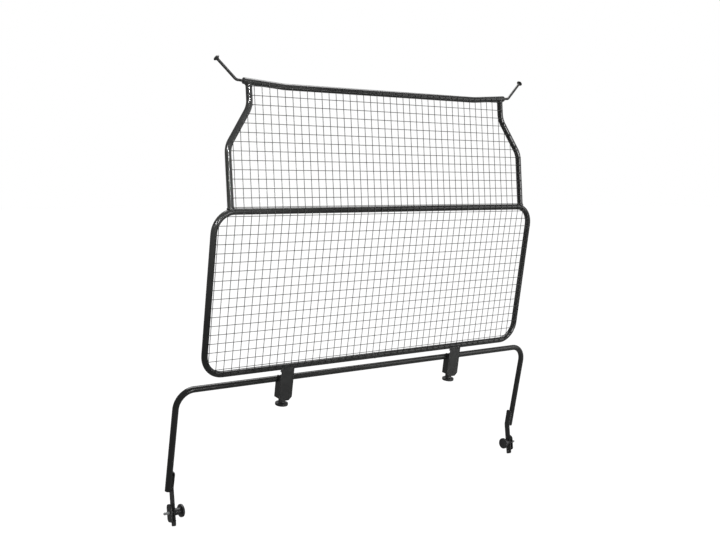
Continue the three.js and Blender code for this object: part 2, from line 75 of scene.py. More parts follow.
FOOT_WELD_PLACE, FOOT_WELD_END = 0.6650, -0.290
KNOB_PLACE, STUD_PLACE, STUD_TIP = 0.6325, 0.6373, 0.6893
SURROUND, ROOM_LIGHT, FLOOR_LIFT = 1.0, 0.34, 1.06
FLOOR_HALF, FLOOR_GAP = 40, 0.002


class Panel:
    """A flat stretch of the barrier: x across, y behind its face, z up along it, leaning about its own x."""

    def __init__(self, origin, lean):
        across, up = math.cos(math.radians(lean)), math.sin(math.radians(lean))
        self.origin = np.asarray(origin, float)
        self.turn = np.array([[1, 0, 0], [0, across, -up], [0, up, across]])

    def place(self, points):
        return np.asarray(points, float) @ self.turn.T + self.origin

    def swing(self, vectors):
        return np.asarray(vectors, float) @ self.turn.T


loop_low, loop_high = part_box("lower_frame_loop")
reach = TUBE * math.cos(math.radians(LOWER_LEAN))
mid_rail = np.array([0, loop_low[1] + reach, loop_high[2] - reach])
FOLD = mid_rail - Panel((0, 0, 0), LOWER_LEAN).swing((0, TUBE_BACK, -RAIL_DROP))
LOWER = Panel(FOLD, LOWER_LEAN)
UPPER = Panel(FOLD, UPPER_LEAN)
BAR = Panel(LOWER.place((0, TUBE_BACK + BAR_BACK, -RAIL_DROP - PANEL_HEIGHT - BAR_DROP)), LEG_LEAN)

# ---------------------------------------------------------------- shader writing


class Value:
    """A number or socket in a material; arithmetic on it adds Math nodes."""

    def __init__(self, paint, socket):
        self.paint, self.socket = paint, socket

    def _math(self, operation, *parts):
        return self.paint.node("ShaderNodeMath", {"operation": operation}, dict(enumerate(parts)))

    def __add__(self, other):
        return self._math("ADD", self, other)

    def __radd__(self, other):
        return self._math("ADD", other, self)

    def __sub__(self, other):
        return self._math("SUBTRACT", self, other)

    def __rsub__(self, other):
        return self._math("SUBTRACT", other, self)

    def __mul__(self, other):
        return self._math("MULTIPLY", self, other)

    def over(self, low, high):
        """0 below low, 1 above high, and a smooth step between them."""
        settings = {"interpolation_type": "SMOOTHSTEP"}
        inputs = {"Value": self, "From Min": low, "From Max": high}
        return self.paint.node("ShaderNodeMapRange", settings, inputs)


class Paint:
    """A material under construction, with one Principled shader."""

    def __init__(self, name, **constants):
        self.material = bpy.data.materials.new(name)
        self.material.use_nodes = True
        self.tree = self.material.node_tree
        self.shader = self.tree.nodes["Principled BSDF"]
        for socket, value in constants.items():
            self.shader.inputs[socket.replace("_", " ")].default_value = value
        self.place = self.node("ShaderNodeTexCoord", {}, {}, "Object")

    def node(self, kind, settings, inputs, output=0):
        node = self.tree.nodes.new(kind)
        for name, value in settings.items():
            setattr(node, name, value)
        for key, value in inputs.items():
            if isinstance(value, Value):
                self.tree.links.new(value.socket, node.inputs[key])
            else:
                node.inputs[key].default_value = value
        return Value(self, node.outputs[output])

    def noise(self, scale, detail=3.0, rough=0.55, where=None):
        inputs = {"Vector": where or self.place, "Scale": scale, "Detail": detail, "Roughness": rough}
        return self.node("ShaderNodeTexNoise", {}, inputs)

    def stretched(self, scale):
        """Object coordinates scaled apart along their three axes."""
        return self.node("ShaderNodeMapping", {}, {"Vector": self.place, "Scale": scale})

    def attribute(self, name):
        return self.node("ShaderNodeAttribute", {"attribute_name": name}, {}, "Fac")

    def mix(self, share, first, second):
        """A colour between first and second; its colour sockets are numbered 6 and 7."""
        inputs = {0: share, 6: first if isinstance(first, Value) else (*first, 1), 7: (*second, 1)}
        return self.node("ShaderNodeMix", {"data_type": "RGBA"}, inputs, 2)

    def bump(self, height, distance, strength):
        inputs = {"Height": height, "Distance": distance, "Strength": strength}
        return self.node("ShaderNodeBump", {}, inputs)

    def feed(self, **links):
        for socket, value in links.items():
            self.tree.links.new(value.socket, self.shader.inputs[socket.replace("_", " ")])
        return self.material


def powder_coat(name, dark, light, roughness, peel=0.00006):
    """Black powder coat: orange peel about 1.5 mm across, slow changes of gloss, and pale rubbed specks."""
    paint = Paint(name, Specular_IOR_Level=0.35)
    cloud = paint.noise(9.0, 4.0).over(0.3, 0.72)
    grain = paint.noise(1500.0, 2.0)
    peel_shape = paint.noise(620.0, 2.0, 0.5)
    rub = paint.noise(46.0, 6.0, 0.7).over(0.66, 0.78)
    wear = paint.attribute("wear")
    scratch = paint.noise(240.0, 3.0, 0.6, paint.stretched((0.25, 1.0, 3.0))).over(0.52, 0.7)
    colour = paint.mix(cloud, dark, light)
    colour = paint.mix(rub * 0.25, colour, (0.085, 0.087, 0.087))
    colour = paint.mix(wear * scratch, colour, (0.22, 0.225, 0.23))
    gloss = roughness + (cloud - 0.5) * 0.1 + (grain - 0.5) * 0.08 + rub * 0.06
    surface = paint.bump(peel_shape + grain * 0.3, peel, 0.7)
    return paint.feed(Base_Color=colour, Roughness=gloss, Normal=surface, Metallic=wear * scratch * 0.6)


def moulded_plastic(name, dark, light, roughness):
    """Black nylon: an even spark-eroded grain and faint flow marks."""
    paint = Paint(name, Specular_IOR_Level=0.45)
    flow = paint.noise(70.0, 3.0, 0.6, paint.stretched((1.0, 1.0, 0.3))).over(0.35, 0.7)
    grain = paint.noise(2600.0, 2.0)
    pits = paint.node("ShaderNodeTexVoronoi", {"feature": "F1"}, {"Vector": paint.place, "Scale": 1900.0})
    colour = paint.mix(flow, dark, light)
    gloss = roughness + (grain - 0.5) * 0.16 + flow * 0.05
    return paint.feed(Base_Color=colour, Roughness=gloss, Normal=paint.bump(pits + grain, 0.00005, 0.6))


def zinc_plate(name, pale, dull, roughness):
    """Bright zinc on steel: faint clouding, drawn lines and a little dulling."""
    paint = Paint(name)
    cloud = paint.noise(160.0, 4.0).over(0.35, 0.7)
    drawn = paint.noise(900.0, 2.0, 0.5, paint.stretched((1.0, 1.0, 0.15)))
    colour = paint.mix(cloud, pale, dull)
    gloss = roughness + cloud * 0.14 + (drawn - 0.5) * 0.1
    metallic = 1.0 - cloud * 0.08
    surface = paint.bump(drawn, 0.00003, 0.5)
    return paint.feed(Base_Color=colour, Roughness=gloss, Metallic=metallic, Normal=surface)


def studio_floor():
    """Pale matt floor that glows evenly, with the faintest tone change, so that no horizon shows."""
    paint = Paint("studio_floor", Specular_IOR_Level=0.1, Emission_Strength=FLOOR_LIFT)
    tone = paint.noise(1.5, 2.0)
    shade = paint.mix(tone, (0.045, 0.045, 0.045), (0.055, 0.055, 0.055))
    glow = paint.mix(tone, (0.93, 0.93, 0.93), (0.95, 0.95, 0.95))
    return paint.feed(Base_Color=shade, Roughness=0.85 + tone * 0.1, Emission_Color=glow)


# ---------------------------------------------------------------- finishes

COAT = powder_coat("black_powder_coat", (0.014, 0.0145, 0.014), (0.021, 0.0215, 0.021), 0.17)
WIRE_COAT = powder_coat("black_wire_coat", (0.016, 0.0165, 0.016), (0.025, 0.0255, 0.024), 0.42, 0.00003)
SHEET_COAT = powder_coat("black_sheet_coat", (0.016, 0.0165, 0.016), (0.024, 0.0245, 0.024), 0.42)
WELD_COAT = powder_coat("black_weld_coat", (0.014, 0.0145, 0.014), (0.023, 0.0235, 0.023), 0.32, 0.00009)
KNOB_PLASTIC = moulded_plastic("knob_nylon", (0.015, 0.015, 0.016), (0.022, 0.022, 0.023), 0.40)
PLUG_PLASTIC = moulded_plastic("plug_nylon", (0.013, 0.013, 0.014), (0.019, 0.019, 0.020), 0.46)
ZINC = zinc_plate("bright_zinc", (0.62, 0.63, 0.64), (0.46, 0.47, 0.47), 0.24)
SPRING_STEEL = zinc_plate("spring_steel", (0.36, 0.37, 0.38), (0.24, 0.25, 0.25), 0.3)

# ---------------------------------------------------------------- surfaces as grids of points


def grid_faces(rows, columns, ring):
    """Quads between neighbouring rows of points; each row is closed, and with ring set so are the columns."""
    row = np.arange(rows if ring else rows - 1)[:, None]
    column = np.arange(columns)[None, :]
    after, beside = (row + 1) % rows, (column + 1) % columns
    here, there = row * columns, after * columns
    corners = [here + column, here + beside, there + beside, there + column]
    return np.stack(np.broadcast_arrays(*corners), -1).reshape(-1, 4)


def piece(name, grids, material, body, node=None, sharp=40, wear=None):
    """One mesh object from grids of points; each grid comes with whether its rows close on themselves."""
    points, faces, count = [], [], 0
    for grid, ring in grids:
        rows, columns = grid.shape[:2]
        points.append(grid.reshape(-1, 3))
        faces.append(grid_faces(rows, columns, ring) + count)
        count += rows * columns
    points = np.concatenate(points)
    mesh = bpy.data.meshes.new(name)
    mesh.from_pydata(points.tolist(), [], np.concatenate(faces).tolist())
    if wear is not None:
        worn = mesh.attributes.new("wear", "FLOAT", "POINT")
        worn.data.foreach_set("value", wear(points).astype(np.float32))
    close_up(mesh)
    mesh.shade_smooth()
    mesh.set_sharp_from_angle(angle=math.radians(sharp))
    mesh.materials.append(material)
    return settle(bpy.data.objects.new(name, mesh), body, node)


def close_up(mesh):
    """Joins the points that share a place at seams and poles, and turns every shell's faces outwards."""
    work = bmesh.new()
    work.from_mesh(mesh)
    bmesh.ops.remove_doubles(work, verts=work.verts, dist=2e-6)
    bmesh.ops.dissolve_degenerate(work, edges=work.edges, dist=1e-7)
    bmesh.ops.recalc_face_normals(work, faces=work.faces)
    work.to_mesh(mesh)
    work.free()


def settle(thing, body, node):
    """Links a finished piece, hangs it on the empty of the body that carries it, and hides the drawn node it
    stands for.
    """
    bpy.context.scene.collection.objects.link(thing)
    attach(thing, body)
    if node:
        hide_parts(node)
    return thing


def bent_path(corners, radius, steps=14):
    """Points and headings along straight runs between corners (x, z), with a round bend at each one."""
    corners = [np.asarray(corner, float) for corner in corners]
    heading = [(b - a) / np.linalg.norm(b - a) for a, b in zip(corners, corners[1:])]
    points, headings = [corners[0][None]], [heading[0][None]]
    for corner, before, after in zip(corners[1:-1], heading, heading[1:]):
        across = before[0] * after[1] - before[1] * after[0]
        turn = math.atan2(across, before @ after)
        start = corner - before * radius * math.tan(abs(turn) / 2)
        normal = np.array([-before[1], before[0]]) * math.copysign(1, turn)
        angle = np.linspace(0, abs(turn), steps)[:, None]
        points.append(start + radius * (np.sin(angle) * before + (1 - np.cos(angle)) * normal))
        headings.append(np.cos(angle) * before + np.sin(angle) * normal)
    points.append(corners[-1][None])
    headings.append(heading[-1][None])
    return np.concatenate(points), np.concatenate(headings)


def tube_along(points, headings, radius, back, sides=28):
    """Rings of a round tube about a path in the x-z plane at depth back, with one radius or one each."""
    angle = np.linspace(0, 2 * math.pi, sides, endpoint=False)
    radius = np.broadcast_to(np.asarray(radius, float), len(points))[:, None]
    side = np.stack([-headings[:, 1], headings[:, 0]], -1)
    x = points[:, None, 0] + radius * np.cos(angle) * side[:, None, 0]
    z = points[:, None, 1] + radius * np.cos(angle) * side[:, None, 1]
    y = back + radius * np.sin(angle) + 0 * x
    return np.stack([x, y, z], -1)


def hollow_ends(points, headings, outer, inner, depth):
    """The path and radii of a tube whose wall turns in at both ends and shows its bore to a depth."""
    first, last = points[0], points[-1]
    into, out = headings[0] * depth, headings[-1] * depth
    ends = [first + into, first + into, first]
    more = [last, last - out, last - out]
    path = np.concatenate([ends, points, more])
    turn = np.concatenate([np.repeat(headings[:1], 3, 0), headings, np.repeat(headings[-1:], 3, 0)])
    radii = np.concatenate([[0, inner, inner], np.full(len(points), outer), [inner, inner, 0]])
    return path, turn, radii


def capped(points, headings, radius):
    """The same path with a ring of no width at each end, so that the tube closes."""
    path = np.concatenate([points[:1], points, points[-1:]])
    turn = np.concatenate([headings[:1], headings, headings[-1:]])
    radii = np.concatenate([[0], np.broadcast_to(radius, len(points)), [0]])
    return path, turn, radii


def turned(profile, sides=48, ribs=0, rib_height=0.0, rib_from=0.0):
    """A profile (radius, height) turned about z; radii beyond rib_from ripple as a cosine of the angle."""
    profile = np.asarray(profile, float)
    angle = np.linspace(0, 2 * math.pi, sides, endpoint=False)
    swell = rib_height * (np.cos(ribs * angle) - 1)[None, :] * (profile[:, :1] > rib_from)
    radius = profile[:, :1] + swell
    return np.stack([radius * np.cos(angle), radius * np.sin(angle), profile[:, 1:] + 0 * angle], -1)


def rounded(profile, radius, steps=4):
    """A profile whose inner corners are rounded: each becomes a short arc drawn as a quadratic curve."""
    profile = [np.asarray(point, float) for point in profile]
    smooth = [profile[0][None]]
    share = np.linspace(0, 1, steps)[:, None]
    for before, corner, after in zip(profile, profile[1:], profile[2:]):
        back, on = before - corner, after - corner
        cut = min(radius, 0.45 * np.linalg.norm(back), 0.45 * np.linalg.norm(on))
        start = corner + back / np.linalg.norm(back) * cut
        end = corner + on / np.linalg.norm(on) * cut
        smooth.append((1 - share) ** 2 * start + 2 * share * (1 - share) * corner + share ** 2 * end)
    smooth.append(profile[-1][None])
    return np.concatenate(smooth)


def aim(points, origin, axis):
    """Points drawn about z, turned so that z lies along axis, and moved to origin."""
    turn = np.array(Vector((0, 0, 1)).rotation_difference(Vector(axis)).to_matrix())
    return points @ turn.T + np.asarray(origin, float)


def bead(path, normals, radius, ring, ripple=0.16, sides=10):
    """A weld bead: a round section along a path, whose width ripples as a sine of its length."""
    step = np.roll(path, -1, 0) - np.roll(path, 1, 0)
    if not ring:
        step[0], step[-1] = path[1] - path[0], path[-1] - path[-2]
    heading = step / np.linalg.norm(step, axis=1, keepdims=True)
    normals = normals - heading * np.sum(normals * heading, 1, keepdims=True)
    normals = normals / np.linalg.norm(normals, axis=1, keepdims=True)
    across = np.cross(heading, normals)
    length = np.cumsum(np.r_[0, np.linalg.norm(np.diff(path, axis=0), axis=1)])
    width = radius * (1 + ripple * np.sin(length / (BEAD_RIPPLE * radius) * 2 * math.pi))
    if not ring:
        width = width * np.sqrt(np.clip(np.minimum(length, length[-1] - length) / (1.2 * radius), 0, 1))
    angle = np.linspace(0, 2 * math.pi, sides, endpoint=False)
    width = width[:, None, None]
    around = np.cos(angle)[None, :, None] * normals[:, None] + np.sin(angle)[None, :, None] * across[:, None]
    return path[:, None] + width * around


def nuggets(centres, size, sides=6, rows=4):
    """Small flattened balls at the given centres: one grid each, all worked out together."""
    up = np.linspace(0, math.pi, rows + 1)[:, None]
    angle = np.linspace(0, 2 * math.pi, sides, endpoint=False)[None, :]
    ball = np.stack([np.sin(up) * np.cos(angle), np.cos(up) + 0 * angle, np.sin(up) * np.sin(angle)], -1)
    return centres[:, None, None] + ball[None] * np.asarray(size)


# ---------------------------------------------------------------- the tube frame


def grip_wear(places, reach_of_wear):
    """Wear where clamps grip a tube: it fades with the distance in x from each place."""
    def amount(points):
        near = np.min(np.abs(points[:, :1] - np.asarray(places)[None, :]), 1)
        return 0.75 * np.clip(1 - near / reach_of_wear, 0, 1)
    return amount


def frame_loop():
    """The lower frame: a rounded rectangle of tube, closed, with its butt weld under the middle."""
    top, bottom = -RAIL_DROP, -RAIL_DROP - PANEL_HEIGHT
    right = [(HALF_WIDTH, bottom), (HALF_WIDTH, top)]
    left = [(-HALF_WIDTH, top), (-HALF_WIDTH, bottom)]
    path, turn = bent_path([(0, bottom), *right, *left, (0, bottom)], CORNER)
    grid = LOWER.place(tube_along(path[:-1], turn[:-1], TUBE, TUBE_BACK))
    piece("frame_loop", [(grid, True)], COAT, "guard", "lower_frame_loop")


def top_rail():
    """The upper tube, open at both ends, which rise a little."""
    rise = (RAIL_END - RAIL_STRAIGHT) * math.tan(RAIL_RISE) + TOP_HEIGHT
    corners = [(-RAIL_END, rise), (-RAIL_STRAIGHT, TOP_HEIGHT), (RAIL_STRAIGHT, TOP_HEIGHT), (RAIL_END, rise)]
    path, turn, radii = hollow_ends(*bent_path(corners, RAIL_BEND), TUBE, TUBE_BORE, 0.055)
    grid = UPPER.place(tube_along(path, turn, radii, TUBE_BACK))
    piece("top_rail_tube", [(grid, False)], COAT, "guard", "top_rail")


def rail_height(x):
    """Height of the top rail's axis up the upper panel, at a distance x from the middle."""
    return TOP_HEIGHT + np.maximum(np.abs(x) - RAIL_STRAIGHT, 0) * math.tan(RAIL_RISE)


def side_tube(side, word):
    """A cranked tube whose two ends are cut to saddle shapes that follow the rails' surfaces."""
    shoulder = [(SHOULDER_HALF, 0), (SHOULDER_HALF, SHOULDER_LOW)]
    corners = [*shoulder, (NECK_HALF, SHOULDER_HIGH), (NECK_HALF, NECK_END)]
    path, turn = bent_path([(side * x, z) for x, z in corners], CORNER)
    grid = tube_along(path, turn, TUBE, TUBE_BACK)
    saddle = np.sqrt(np.clip(TUBE ** 2 - (grid[0, :, 1] - TUBE_BACK) ** 2, 0, None)) - 0.0022
    grid[0, :, 2] = saddle
    grid[-1, :, 2] = rail_height(NECK_HALF) - saddle
    closed = np.concatenate([grid[:1] * 0 + grid[0].mean(0), grid, grid[:1] * 0 + grid[-1].mean(0)])
    piece(f"{word}_side_tube_skin", [(UPPER.place(closed), False)], COAT, "guard", f"{word}_side_tube")


def saddle_bead(x, level, down, radius=0.0016):
    """A bead round the joint of two crossing tubes of one size: its height follows the rail's surface."""
    angle = np.linspace(0, 2 * math.pi, 96, endpoint=False)
    out = TUBE + 0.0002
    y = out * np.sin(angle)
    z = np.sqrt(np.clip(TUBE ** 2 - (0.97 * y) ** 2, 0, None)) + 0.0004
    path = np.stack([x + out * np.cos(angle), TUBE_BACK + y, level + (-z if down else z)], -1)
    normals = np.stack([np.cos(angle), np.sin(angle), 0 * angle], -1)
    return bead(UPPER.place(path), UPPER.swing(normals), radius, True)


def straight_bead(panel, start, end, normal, radius):
    """A bead along a straight line on a panel."""
    path = np.linspace(start, end, 60)
    return bead(panel.place(path), np.broadcast_to(panel.swing(normal), path.shape), radius, False)


def frame_welds():
    """Saddle welds of the side tubes, the butt weld of the loop and the welds of the clamp brackets."""
    grids = []
    for side, _ in SIDES:
        grids.append((saddle_bead(side * SHOULDER_HALF, -0.0010, False), True))
        grids.append((saddle_bead(side * NECK_HALF, float(rail_height(NECK_HALF)), True), True))
    bottom = -RAIL_DROP - PANEL_HEIGHT
    angle = np.linspace(0, 2 * math.pi, 72, endpoint=False)
    around = np.stack([0 * angle, np.cos(angle), np.sin(angle)], -1)
    seam = LOWER.place(around * (TUBE - 0.0003) + (0, TUBE_BACK, bottom))
    grids.append((bead(seam, LOWER.swing(around), 0.0011, True), True))
    for side, _ in SIDES:
        low, high = side * BRACKET_PLACE - 0.021, side * BRACKET_PLACE + 0.021
        place = (TUBE_BACK - 0.0094, bottom - 0.0028)
        grids.append((straight_bead(LOWER, (low, *place), (high, *place), (0, -1, 0.4), 0.0018), False))
    piece("frame_weld_beads", grids, WELD_COAT, "guard", sharp=60)


# ---------------------------------------------------------------- the welded mesh


def outline_half(height, lower):
    """Half the mesh's width at a height: round corners below the fold, the cranked side tubes above it."""
    if lower:
        edge = np.minimum(-RAIL_DROP - height, height + RAIL_DROP + PANEL_HEIGHT)
        drop = CORNER - np.clip(edge, 0, CORNER)
        return HALF_WIDTH - CORNER + np.sqrt(np.clip(CORNER ** 2 - drop ** 2, 0, None))
    slope = (SHOULDER_HALF - NECK_HALF) / (SHOULDER_HIGH - SHOULDER_LOW)
    return np.clip(SHOULDER_HALF - (height - SHOULDER_LOW) * slope, NECK_HALF, SHOULDER_HALF)


def wire_grids(starts, ends, panel, stations, sides=8):
    """Straight round wires from starts to ends, slightly wavy: one grid for each, with closed, domed ends."""
    length = np.linalg.norm(ends - starts, axis=1, keepdims=True)
    dome = WIRE / length * np.array([0, 0.4, 1])
    inner = dome[:, 2:] + (1 - 2 * dome[:, 2:]) * np.linspace(0, 1, stations)[None, 1:-1]
    share = np.concatenate([dome, inner, 1 - dome[:, ::-1]], axis=1)[..., None]
    line = starts[:, None] * (1 - share) + ends[:, None] * share
    phase = rng.uniform(0, 2 * math.pi, (len(starts), 1))
    wave = 0.00016 * np.sin(share[..., 0] * math.pi * 3 + phase) * np.sin(share[..., 0] * math.pi)
    along = (ends - starts) / length
    side = np.stack([along[:, 2], 0 * along[:, 0], -along[:, 0]], -1)
    line = line + wave[..., None] * side[:, None]
    radius = WIRE * np.r_[0, 0.8, np.ones(stations), 0.8, 0][None, :, None, None]
    angle = np.linspace(0, 2 * math.pi, sides, endpoint=False)[None, None, :, None]
    back = np.array([0, 1, 0])
    rings = line[:, :, None] + radius * (np.cos(angle) * side[:, None, None] + np.sin(angle) * back)
    return [(grid, False) for grid in panel.place(rings)]


def wire_panel(lower):
    """Upright wires against the tubes, level wires in front of them, and a weld nugget at each crossing."""
    panel, word = (LOWER, "lower") if lower else (UPPER, "upper")
    widest = HALF_WIDTH if lower else SHOULDER_HALF
    rear = TUBE_BACK - TUBE - WIRE
    front = rear - 1.86 * WIRE
    x = np.arange(-24, 24) * PITCH + MESH_SHIFT
    x = x[np.abs(x) < widest - 0.004]
    if lower:
        rows = -0.0146 - np.arange(18) * PITCH
        inside = np.clip(np.abs(x) - HALF_WIDTH + CORNER, 0, CORNER)
        reach = np.sqrt(np.clip(CORNER ** 2 - inside ** 2, 0, None))
        low, high = -RAIL_DROP - PANEL_HEIGHT + CORNER - reach, -RAIL_DROP - CORNER + reach
        high = np.where(np.abs(x) < SHOULDER_HALF, 0, high)
    else:
        rows = 0.0098 + np.arange(14) * PITCH
        slope = (SHOULDER_HIGH - SHOULDER_LOW) / (SHOULDER_HALF - NECK_HALF)
        slanted = SHOULDER_LOW + (SHOULDER_HALF - np.abs(x)) * slope
        low, high = 0 * x, np.where(np.abs(x) < NECK_HALF, rail_height(x) + 0.003, slanted)
    feet, tops = (np.stack([x, 0 * x + rear, height], -1) for height in (low, high))
    uprights = wire_grids(feet, tops, panel, 24)
    piece(f"{word}_upright_wires", uprights, WIRE_COAT, "guard", f"{word}_vertical_wires", 70)
    half = outline_half(rows, lower) + 0.001
    lefts, rights = (np.stack([end * half, 0 * rows + front, rows], -1) for end in (-1, 1))
    levels = wire_grids(lefts, rights, panel, 40)
    piece(f"{word}_level_wires", levels, WIRE_COAT, "guard", f"{word}_horizontal_wires", 70)
    crossing_nuggets(panel, word, x, rows, low, high, half, (rear + front) / 2)
    end_welds(panel, word, x, low, high, rows, half, rear)


def crossing_nuggets(panel, word, x, rows, low, high, half, depth):
    """Flattened balls where an upright and a level wire cross inside the mesh's outline."""
    across, height = np.meshgrid(x, rows)
    kept = (height > low[None, :]) & (height < high[None, :]) & (np.abs(across) < half[:, None])
    centres = np.stack([across[kept], 0 * across[kept] + depth, height[kept]], -1)
    balls = nuggets(centres, (1.18 * WIRE, 0.9 * WIRE, 1.18 * WIRE))
    grids = [(ball, False) for ball in panel.place(balls)]
    piece(f"{word}_wire_crossings", grids, WIRE_COAT, "guard", None, 80)


def end_welds(panel, word, x, low, high, rows, half, depth):
    """Resistance-weld spots where wires end on the tubes."""
    ends = [np.stack([x, 0 * x + depth + 0.0004, low + 0.0035], -1)]
    if word == "upper":
        ends = [np.stack([x, 0 * x + depth + 0.0004, high - 0.0035], -1)]
    for side in (-1, 1):
        ends.append(np.stack([side * (half - 0.0045), 0 * rows + depth, rows], -1))
    centres = np.concatenate(ends)
    centres = centres + rng.normal(0, 0.0002, centres.shape) * (1, 0, 1)
    grids = [(ball, False) for ball in panel.place(nuggets(centres, (0.0018, 0.0013, 0.0022)))]
    piece(f"{word}_wire_end_welds", grids, WIRE_COAT, "guard", None, 80)


# ---------------------------------------------------------------- sheet parts, from the frame's own solids


def refined(node, body, material, width, segments=3):
    """A copy of a drawn solid with its flat faces joined and its edges rounded."""
    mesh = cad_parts[node].data.copy()
    mesh.name = f"{node}_sheet"
    work = bmesh.new()
    work.from_mesh(mesh)
    bmesh.ops.remove_doubles(work, verts=work.verts, dist=1e-5)
    bmesh.ops.dissolve_limit(work, angle_limit=math.radians(1), verts=work.verts, edges=work.edges)
    bmesh.ops.remove_doubles(work, verts=work.verts, dist=6e-4)
    bmesh.ops.recalc_face_normals(work, faces=work.faces)
    work.to_mesh(mesh)
    work.free()
    mesh.materials.clear()
    mesh.materials.append(material)
    mesh.shade_smooth()
    mesh.set_sharp_from_angle(angle=math.radians(30))
    thing = settle(bpy.data.objects.new(f"{node}_piece", mesh), body, node)
    bevel = thing.modifiers.new("edges", "BEVEL")
    bevel.width, bevel.segments, bevel.limit_method = width, segments, "ANGLE"
    bevel.angle_limit = math.radians(35)
    bevel.harden_normals = True
    return thing


# ---------------------------------------------------------------- knobs, screws and plugs


def hand_knob(name, body, node, origin, axis, hub_top, disc_top, disc_radius, hub_radius, dish):
    """A moulded knob: ribbed rim, dished face and a hub with a bore for its screw, turned about its axis."""
    bore, bore_end = 0.0042, 0.0025 + dish
    outline = [
        (0, dish), (disc_radius * 0.55, dish), (disc_radius * 0.72, 0), (disc_radius, 0),
        (disc_radius, disc_top), (hub_radius + 0.0012, disc_top), (hub_radius, disc_top + 0.0018),
        (hub_radius, hub_top), (bore, hub_top), (bore, bore_end), (0, bore_end),
    ]
    grid = turned(rounded(outline, 0.0018), 120, 30, 0.00018, disc_radius * 0.9)
    return piece(name, [(aim(grid, origin, axis), False)], KNOB_PLASTIC, body, node, 50)


def threaded_rod(name, body, node, origin, axis, length):
    """A screw thread: the radius is a triangle wave of (height over pitch) minus (angle over a full turn)."""
    radius, pitch, depth = 0.004, 0.00125, 0.00068
    sides, rows = 28, int(length / pitch * 6)
    height = np.linspace(0, length, rows)[:, None]
    angle = np.linspace(0, 2 * math.pi, sides, endpoint=False)[None, :]
    turns = height / pitch - angle / (2 * math.pi)
    wave = np.abs(2 * (turns - np.floor(turns)) - 1)
    fade = np.clip(np.minimum(height, length - height) / pitch, 0, 1)
    around = radius - depth * (1 - wave * fade) - 0.0004 * (1 - fade)
    grid = np.stack([around * np.cos(angle), around * np.sin(angle), height + 0 * angle], -1)
    caps = [np.broadcast_to((0, 0, z), (1, sides, 3)) for z in (0, length)]
    grid = np.concatenate([caps[0], grid, caps[1]])
    return piece(name, [(aim(grid, origin, axis), False)], ZINC, body, node, 70)


def clamp(side, word):
    """Bracket, weld nut and saddle under the bottom rail, with the screw and hand knob below them."""
    base = np.array([side * BRACKET_PLACE, TUBE_BACK + SCREW_BACK, -RAIL_DROP - PANEL_HEIGHT])
    up = LOWER.swing((0, 0, 1))
    refined(f"{word}_clamp_bracket", "guard", SHEET_COAT, 0.0007)
    refined(f"{word}_clamp_nut", "guard", ZINC, 0.0005, 2)
    refined(f"{word}_saddle", f"{word}_saddle", ZINC, 0.0008)
    foot = LOWER.place(base - (0, 0, 0.1185))
    hand_knob(f"{word}_clamp_hand_knob", f"{word}_clamp_knob", f"{word}_clamp_knob", foot, up,
              0.0245, 0.0080, 0.0190, 0.0102, 0.0)
    screw = LOWER.place(base - (0, 0, 0.1157))
    threaded_rod(f"{word}_clamp_thread", f"{word}_clamp_knob", f"{word}_clamp_screw", screw, up, 0.0653)


# ---------------------------------------------------------------- the roof hooks


HOOK_BEND, HOOK_TURN, HOOK_REACH = 0.024, math.radians(38.9), 0.0795


def hook_frame(side):
    """Origin and directions of the top rail's rising end: along it, across it and behind it."""
    end = np.array([side * RAIL_END, TUBE_BACK, float(rail_height(RAIL_END))])
    along = UPPER.swing((side * math.cos(RAIL_RISE), 0, math.sin(RAIL_RISE)))
    over = UPPER.swing((-side * math.sin(RAIL_RISE), 0, math.cos(RAIL_RISE)))
    return UPPER.place(end), along, over


def roof_hook(side, word):
    """A bent rod with a mushroom head turned about the rod's own end."""
    end = np.array([side * RAIL_END, float(rail_height(RAIL_END))])
    along = np.array([side * math.cos(RAIL_RISE), math.sin(RAIL_RISE)])
    over = np.array([-side * math.sin(RAIL_RISE), math.cos(RAIL_RISE)])
    raised = along * math.cos(HOOK_TURN) + over * math.sin(HOOK_TURN)
    bend = end + along * HOOK_BEND
    tip = bend + raised * HOOK_REACH
    path, turn, radii = capped(*bent_path([end - along * 0.034, bend, tip], 0.014), 0.004)
    rod = UPPER.place(tube_along(path, turn, radii, TUBE_BACK, 20))
    dome = [(0, -0.0034), (0.0076, -0.0034), (0.009, -0.0024), (0.009, -0.0004),
            (0.0066, 0.0021), (0, 0.0033)]
    centre = UPPER.place((tip[0], TUBE_BACK, tip[1]))
    head = aim(turned(rounded(dome, 0.0012), 40), centre, UPPER.swing((raised[0], 0, raised[1])))
    neck = [(0, -0.0062), (0.0046, -0.0062), (0.0062, -0.0034), (0, -0.0034)]
    collar = aim(turned(rounded(neck, 0.0006), 32), centre, UPPER.swing((raised[0], 0, raised[1])))
    grids = [(rod, False), (head, False), (collar, False)]
    piece(f"{word}_hook_rod_and_head", grids, COAT, f"{word}_roof_hook", f"{word}_roof_hook", sharp=50)


def hook_parts(side, word):
    """Plug, collar, spring and stop in the end of the top rail."""
    origin, along, _ = hook_frame(side)
    plug = [(0.0042, -0.012), (0.0072, -0.012), (0.0072, 0.0001), (0.0089, 0.0001), (0.0089, 0.0012),
            (0.0070, 0.0023), (0.0042, 0.0023), (0.0042, -0.012)]
    grid = turned(rounded(plug, 0.0008), 48)
    piece(f"{word}_rail_end_plug", [(aim(grid, origin, along), False)], PLUG_PLASTIC, "guard",
          f"{word}_rail_plug", 50)
    refined(f"{word}_hook_collar", f"{word}_roof_hook", ZINC, 0.0004, 2)
    refined(f"{word}_spring_stop", "guard", ZINC, 0.0004, 2)
    hook_spring(side, word)


